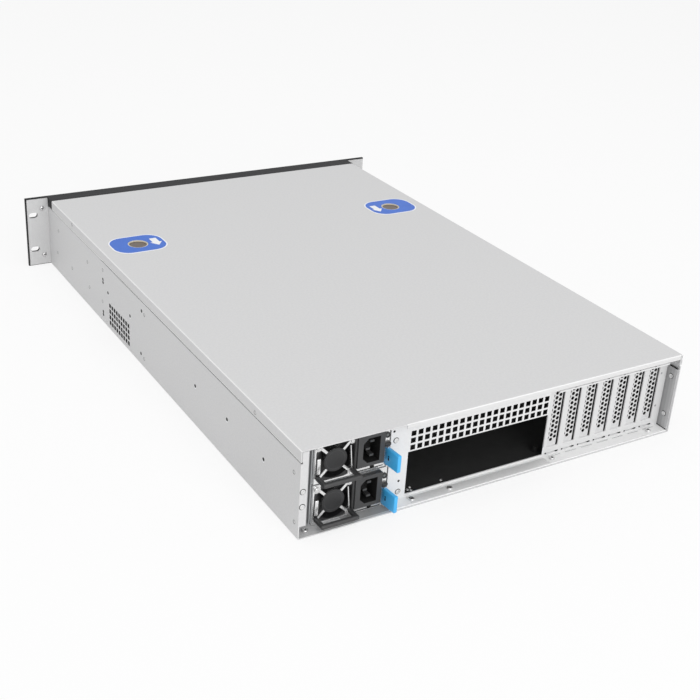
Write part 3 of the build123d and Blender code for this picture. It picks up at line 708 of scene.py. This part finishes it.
def screwHeads():
    look = screwLook
    sunk, earSunk = (look[key] * (1 - headLook["depth"]) + look["shade"] for key in ("height", "earHeight"))
    head = panHead(look["radius"], look["height"])
    places = [fromRear(*stand) for stand in look["stands"]]
    places += [fromRear(x, look["tabLine"], look["tabTop"]) for x in slotMiddles]
    heads = stamp("panelScrewHeads", head, places, upward)
    discard(head)
    head = panHead(look["radius"], look["earHeight"])
    ears = stamp("earScrewHeads", head, onRear(look["ears"], look["earFace"]), rearward)
    discard(head)
    screws = mount(join("screwHeads", [heads, ears]), "chassis", "screwSteel")
    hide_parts("screws")
    # dark discs on the recess floors: painted shade in the drivers' recesses
    shade = dot(look["recess"])
    floors = stamp("recessFloors", shade, [place + Vector(mm(0, 0, sunk)) for place in places], upward)
    earFloors = stamp("earRecessFloors", shade, onRear(look["ears"], look["earFace"] + earSunk), rearward)
    discard(shade)
    mount(join("screwRecessShades", [floors, earFloors]), "chassis", "blackPlasticAndShade")


screwHeads()
print("screw heads made")

rivetLook = dict(
    radius=2.4, height=0.7, recess=0.3, rim=0.55, rimSides=28, rimLift=0.02,
    flange=[(211, 48), (211, 33)], flap=[(-8, 61), (-8, 18)], panel=[(110.8, 64.2), (104.4, 9.1)],
)


def rearRivets():
    # rivets on the return flange and the flap, and the panel's two screws, each in a dark ring of painted
    # shade
    look = rivetLook
    flap = onSide(look["flap"], flapFace)
    panel = onRear(look["panel"], panelFace)
    head = panHead(look["radius"], look["height"], look["recess"])
    spread("flangeRivets", head, onRear(look["flange"], 0), rearward, "screwSteel")
    spread("flapRivets", head, flap, sideward, "screwSteel")
    spread("panelScrews", head, panel, rearward, "screwSteel")
    discard(head)
    rim = dot(look["radius"] + look["rim"], sides=look["rimSides"])
    rims = [
        stamp("flangeRims", rim, onRear(look["flange"], look["rimLift"]), rearward),
        stamp("flapRims", rim, flap, sideward),
        stamp("panelRims", rim, panel, rearward),
    ]
    mount(join("rivetShadeRings", rims), "chassis", "paintedRivetShade")
    discard(rim)


studLook = dict(radius=1.5, height=1.2, places=[(51.5, -22.6), (84.5, -24.9), (86, -20.4), (88.5, -22.4)])


def floorStuds():
    head = panHead(studLook["radius"], studLook["height"])
    places = [fromRear(x, y, filmLook["top"]) for x, y in studLook["places"]]
    spread("floorStuds", head, places, upward, "screwSteel")
    discard(head)


holeLook = dict(radius=1.2, holes=[(104.4, 20.4), (113.4, 73.8)], dimples=[(-205, 62), (-205, 25)])


def panelHoles():
    look = holeLook
    hole = dot(look["radius"])
    spread("panelHoles", hole, onRear(look["holes"], panelFace), rearward, "holeShadeAndMarkBlack")
    spread("panelDimples", hole, onRear(look["dimples"], panelFace), rearward, "stripGrey")
    discard(hole)


# the ends are given as their shift from the slot's middle and their width
slitLook = dict(level=4.4, high=1.6, thick=0.1, edge=0.03, ends=[(7.1, 1.7), (-6.4, 3.2)])


def slitEnds():
    # the dark ends of the slits that the tongues of the slot covers go in
    look = slitLook
    ends = []
    for shift, width in look["ends"]:
        shade = block("slitPattern", (0, 0, 0), mm(width, look["thick"], look["high"]))
        roundOff(shade, look["edge"], segments=1)
        places = [fromRear(x + shift, panelFace, look["level"]) for x in slotMiddles]
        ends.append(stamp("slitEnd", shade, places))
        discard(shade)
    mount(join("slitEnds", ends), "chassis", "holeShadeAndMarkBlack")


flapLook = dict(lines=[(71.05, 72.3), (2.25, 3.1)], back=-14.8, front=-1.4, proud=0.25, edge=0.05)


def flapGapShades():
    # black strips of painted shade in the gaps above and below the flap
    look = flapLook
    outer = flapFace + look["proud"]
    lines = [
        prism("flapLine", (flapFace, look["back"], low), (outer, look["front"], high), look["edge"])
        for low, high in look["lines"]
    ]
    mount(join("flapGapShades", lines), "chassis", "holeShadeAndMarkBlack")


dashLook = dict(size=(14.2, 0.8, 0.5), edge=0.1, shift=-2, line=-12, level=1.7)


def lipDashShades():
    # short grey strips of painted shade in the cuts in the panel's foot, one below each slot cover
    look = dashLook
    dash = block("dashPattern", (0, 0, 0), mm(*look["size"]))
    roundOff(dash, look["edge"], segments=2)
    places = [fromRear(x + look["shift"], look["line"], look["level"]) for x in slotMiddles]
    spread("lipDashShades", dash, places, upward, "stripGrey")
    discard(dash)


# the light strip in the foot, the last bit of the lid's hem and a bright tab beside the port opening:
# name, two corners, edge, body, slot and finish
rearStrips = [
    ("lipStrip", (-61.6, -12.3, 1.75), (96.4, -2.7, 2.1), 0.12, "chassis", "zinc_steel", "stripLight"),
    ("hemEnd", (98.2, -1.3, 83.2), (110.5, 0, 87.9), 0.6, "cover", "cover_steel", "coverSteel"),
    ("brightTab", (-61.8, -15.0, 4.6), (-60.9, -14.2, 12.6), 0.2, "chassis", "zinc_steel", "whitePaintAndHighlight"),
]

rearRivets()
floorStuds()
panelHoles()
slitEnds()
flapGapShades()
lipDashShades()
for name, low, high, edge, body, slotName, finish in rearStrips:
    mount(prism(name, low, high, edge), body, finish)
print("rear marks made")

# folded strips between the power supplies and the rear flange, and a black block of painted shade behind
# them: name, slot, finish and their corners
gapEdge = 0.4
sideGaps = [
    # painted shade: a black block in the gap behind the strips
    ("gapShade", "black_plastic", "holeShadeAndMarkBlack", [((195.2, -190, 1.4), (206.4, -26, 85.0))]),
    ("gapStrips", "inner_steel", "stripGrey", [
        ((196.0, -25.5, 2.0), (198.6, -16.5, 84.0)),
        ((201.8, -25.5, 2.0), (204.6, -14.5, 85.5)),
    ]),
    ("gapRib", "inner_steel", "guardSteel", [((199.4, -25.5, 3.0), (200.8, -13.5, 85.0))]),
]
for name, slotName, finish, corners in sideGaps:
    strips = [prism(name, low, high, gapEdge) for low, high in corners]
    mount(join(name, strips), "chassis", finish)
print("side gap filled")

powerLook = dict(base=1.6, pitch=41.6, face=-12)


def both(piece, name, finish, stands=""):
    # mounts the piece on the lower power supply and a copy of it on the upper one
    settle(piece)
    bpy.ops.object.duplicate(linked=False)
    upper = bpy.context.object
    upper.location.z = powerLook["pitch"] / 1000
    for twin, supply in ((piece, "psu_lower"), (upper, "psu_upper")):
        body = supply + ("_latch" if name.startswith("tab") else "")
        twin.name = f"{name}_{supply[4:]}"
        mount(twin, body, finish)
        if stands:
            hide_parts(supply + stands)


def atSupply(x, lift, z):
    # a place on the lower power supply, from its rear face and its underside
    return fromRear(x, powerLook["face"] + lift, powerLook["base"] + z)


def supplyPrism(name, low, high, edge):
    base = powerLook["base"]
    return prism(name, (low[0], low[1], base + low[2]), (high[0], high[1], base + high[2]), edge)


def supplyDisc(name, x, lift, z, radius, thick, sides):
    return disc(name, atSupply(x, lift, z), radius, thick, rearward, sides)


socketLook = dict(middle=(141, 23.45), size=(17, 24.5, 15.5), face=-7.1, chamfer=5, rim=0.3, floor=0.5)


def powerSocket():
    # a black lining in the socket's hole, with two corners cut, on the fan's side: painted shade over the
    # dark plastic
    look = socketLook
    wide, high, deep = look["size"]
    x, z = look["middle"]
    low = (x - wide / 2, look["face"] - deep, z - high / 2)
    shadeLiner = supplyPrism("socketShadeLiner", low, (x + wide / 2, look["face"], z + high / 2), 0)
    # the two edges that go in, on the side where x is largest
    middle = x / 1000
    pickEdges(shadeLiner, lambda a, b: min(a.x, b.x) > middle and abs(a.y - b.y) > deep / 2000)
    bpy.ops.mesh.bevel(offset=look["chamfer"] / 1000, segments=1)
    backToObject()
    sinkIn(shadeLiner, facing("y"), look["rim"], (0, look["floor"] - deep, 0))
    both(shadeLiner, "socketShadeLiner", "holeShadeAndMarkBlack")


# places from the socket's middle; back is the pins' root, counted from the supply's rear face
pinLook = dict(
    size=(4.0, 2.2, 14.3), tip=0.8, tipShare=(0.8, 1, 0.6), back=-10.9, places=[(-2, -7), (-2, 7), (2, 0)])


def powerPins():
    look = pinLook
    wide, high, deep = look["size"]
    x, z = socketLook["middle"]
    pin = block("pinPattern", mm(0, deep / 2, 0), mm(wide, deep, high))
    pickFaces(pin, facing("y"))
    drawOut(0, look["tip"], 0)
    bpy.ops.transform.resize(value=look["tipShare"], center_override=mm(0, deep, 0))
    backToObject()
    places = [atSupply(x + right, look["back"], z + up) for right, up in look["places"]]
    both(stamp("socketPins", pin, places), "socketPins", "pinBright")
    discard(pin)


guardLook = dict(
    lugs=[(190.6, 35.6), (157.2, 35.4), (157.2, 4.2)], screwRadius=2.7, screwHeight=1.3, recess=0.36,
    lugRadius=3.8, lugThick=0.5, lugEdge=0.15, lugSides=28,
)


def guardScrews():
    look = guardLook
    thick = look["lugThick"]
    head = panHead(look["screwRadius"], look["screwHeight"], look["recess"])
    places = [atSupply(x, thick, z) for x, z in look["lugs"]]
    both(stamp("guardScrews", head, places, rearward), "guardScrews", "screwSteel")
    discard(head)
    lug = disc("lugPattern", (0, 0, 0), look["lugRadius"], thick, sides=look["lugSides"])
    roundOff(lug, look["lugEdge"], segments=2)
    places = [atSupply(x, thick / 2, z) for x, z in look["lugs"]]
    both(stamp("guardLugs", lug, places, rearward), "guardLugs", "guardSteel")
    discard(lug)


hubLook = dict(
    middle=(174, 20), radius=11.3, thick=0.7, edge=0.2, sides=48,
    ring=9.2, ringLift=0.72, ringThick=0.2, ringWide=0.6,
)


def fanHub():
    look = hubLook
    x, z = look["middle"]
    hub = supplyDisc("hubCap", x, look["thick"] / 2, z, look["radius"], look["thick"], look["sides"])
    roundOff(hub, look["edge"], segments=2)
    both(hub, "hubCap", "blackPlasticAndShade")
    ring = supplyDisc("hubRing", x, look["ringLift"], z, look["ring"], look["ringThick"], look["sides"])
    pickFaces(ring, lambda face: abs(face.normal.z) > alongAxis)
    bpy.ops.mesh.inset(thickness=look["ringWide"] / 1000)
    bpy.ops.mesh.delete(type="FACE")
    bpy.ops.mesh.select_mode(type="EDGE")
    bpy.ops.mesh.select_non_manifold()
    bpy.ops.mesh.bridge_edge_loops()
    bpy.ops.mesh.select_all(action="SELECT")
    bpy.ops.mesh.normals_make_consistent(inside=False)
    backToObject()
    both(ring, "hubRing", "greyPlastic")


ribLook = dict(low=(156.9, -12.3, 7), high=(157.9, -10.6, 31), lean=2.4, edge=0.2)
lugLook = dict(low=(188.6, -12, 9.5), high=(192.2, -10.4, 25), edge=0.7)


def guardEdges():
    # the leaning rib beside the socket and the long lug on the other side of the fan
    look = ribLook
    rib = supplyPrism("guardRib", look["low"], look["high"], 0)
    pickFaces(rib, facing("z"))
    bpy.ops.transform.translate(value=mm(look["lean"], 0, 0))
    backToObject()
    roundOff(rib, look["edge"], segments=2)
    both(rib, "guardRib", "guardSteel")
    lug = supplyPrism("guardLug", lugLook["low"], lugLook["high"], lugLook["edge"])
    both(lug, "guardLug", "guardSteel")


lampLook = dict(
    middle=(122.6, 31.5), radius=2.8, thick=1.1, lift=0.5, rim=1.1, sunk=0.4, sides=28,
    lens=1.4, lensThick=0.9, lensLift=0.45, lensEdge=0.4, lensSides=24,
)


def statusLamp():
    look = lampLook
    x, z = look["middle"]
    ring = supplyDisc("lampRing", x, look["lift"], z, look["radius"], look["thick"], look["sides"])
    sinkIn(ring, facing("z"), look["rim"], (0, -look["sunk"], 0))
    both(ring, "lampRing", "blackPlasticAndShade")
    lens = supplyDisc("lampLens", x, look["lensLift"], z, look["lens"], look["lensThick"], look["lensSides"])
    roundOff(lens, look["lensEdge"], segments=3)
    smoothOver(lens)
    both(lens, "lampLens", "lampClear")


underLook = dict(middle=(136.3, 2.9), radius=2.2, thick=0.14, edge=0.03, sides=24)


def inletHole():
    look = underLook
    x, z = look["middle"]
    hole = supplyDisc("inletHole", x, look["thick"] / 2, z, look["radius"], look["thick"], look["sides"])
    roundOff(hole, look["edge"], segments=1)
    both(hole, "inletHole", "holeShadeAndMarkBlack")


# name, two corners with z from the supply's underside, edge, slot and finish
supplyStrips = [
    ("latchBody", (119.4, -12, 21.2), (125.8, -9.2, 24.6), 0.8, "black_plastic", "blackPlasticAndShade"),
    ("latchSlot", (124.5, -12, 6.5), (127.3, -11.7, 21), 0.1, "black_plastic", "holeShadeAndMarkBlack"),
    ("inletGap", (125, -12, 1.1), (152.5, -11.85, 1.9), 0.05, "black_plastic", "holeShadeAndMarkBlack"),
    ("bezelStrip", (153.6, -12, 3), (156.4, -8.8, 39.4), 0.6, "grey_plastic", "greyPlastic"),
]

handleLook = dict(left=155, right=193, bar=4.2, reach=16, level=4, edge=1.4)


def powerHandles():
    # a bar whose ends are drawn back to the case
    look = handleLook
    bar = look["bar"]
    base = powerLook["base"] + look["level"]
    end = powerLook["face"] + look["reach"]
    handle = prism("handle", (look["left"], end - bar, base), (look["right"], end, base + bar), 0)
    cuts = mm(look["left"] + bar, look["right"] - bar)
    for cut in cuts:
        pickAll(handle)
        bpy.ops.mesh.bisect(plane_co=(cut, 0, 0), plane_no=(1, 0, 0))
    backToObject()
    pickFaces(handle, lambda face: face.normal.y < -alongAxis and not cuts[0] < face.center.x < cuts[1])
    drawOut(0, bar - look["reach"], 0)
    backToObject()
    roundOff(handle, look["edge"], segments=3)
    smoothOver(handle)
    both(handle, "handle", "greyPlastic", "_handle")


# the root goes round the pin; marks are given as level and height, markLine is where they begin and end
tabLook = dict(
    pin=(122, -10.2), size=(4.0, 17.5, 17.0), level=2.5, edge=1.1, lean=5, root=1.6, rootEnd=2, rootEdge=0.7,
    marks=[(6.4, 2.6), (9.6, 1.4)], markLine=(3.4, 5), markProud=0.15, markEdge=0.06,
)


def powerTabs():
    look = tabLook
    thick, long, high = look["size"]
    x, y = look["pin"]
    base = powerLook["base"] + look["level"]
    face = x + thick / 2
    root = look["root"]
    blade = prism("tab", (x - thick / 2, y, base), (face, y + long, base + high), look["edge"])
    far = (x + root, y + look["rootEnd"], base + high)
    hinge = prism("tabRoot", (x - root, y - root, base), far, look["rootEdge"])
    tab = join("tab", [blade, hinge])
    start, end = look["markLine"]
    marks = []
    for low, tall in look["marks"]:
        outer = (face + look["markProud"], y + end, base + low + tall)
        marks.append(prism("tabMark", (face, y + start, base + low), outer, look["markEdge"]))
    mark = join("tabMark", marks)
    turn = radians(-look["lean"])
    for piece in (tab, mark):
        pickAll(piece)
        bpy.ops.transform.rotate(value=turn, orient_axis="Z", center_override=fromRear(x, y, 0))
        backToObject()
    both(tab, "tab", "tabBlue", "_latch")
    both(mark, "tabMark", "holeShadeAndMarkBlack")


powerSocket()
powerPins()
guardScrews()
fanHub()
guardEdges()
statusLamp()
inletHole()
for name, low, high, edge, slotName, finish in supplyStrips:
    both(supplyPrism(name, low, high, edge), name, finish)
powerHandles()
powerTabs()
print("power supplies detailed")

# button gives two corners as x and z from the middle of a tray
trayLook = dict(
    count=8, columns=4, pitchX=105.2, pitchZ=28.6, low=16, face=-667.99,
    button=((30, -7), (40, 1)), thick=0.3, frame=0.8, sunk=0.02,
)


def leverButtons():
    # release buttons, flush with the levers' faces
    look = trayLook
    (left, bottom), (right, top) = look["button"]
    back = look["face"] + look["thick"]
    for number in range(look["count"]):
        row, column = divmod(number, look["columns"])
        x = (column - (look["columns"] - 1) / 2) * look["pitchX"]
        z = look["low"] + row * look["pitchZ"]
        name = f"leverButton_{number + 1}"
        button = prism(name, (x + left, look["face"], z + bottom), (x + right, back, z + top), 0)
        sinkIn(button, facing("y", -1), look["frame"], (0, look["sunk"], 0))
        mount(button, f"lever_{number + 1}", "blackPlasticAndShade")


leverButtons()
print("front marks made")
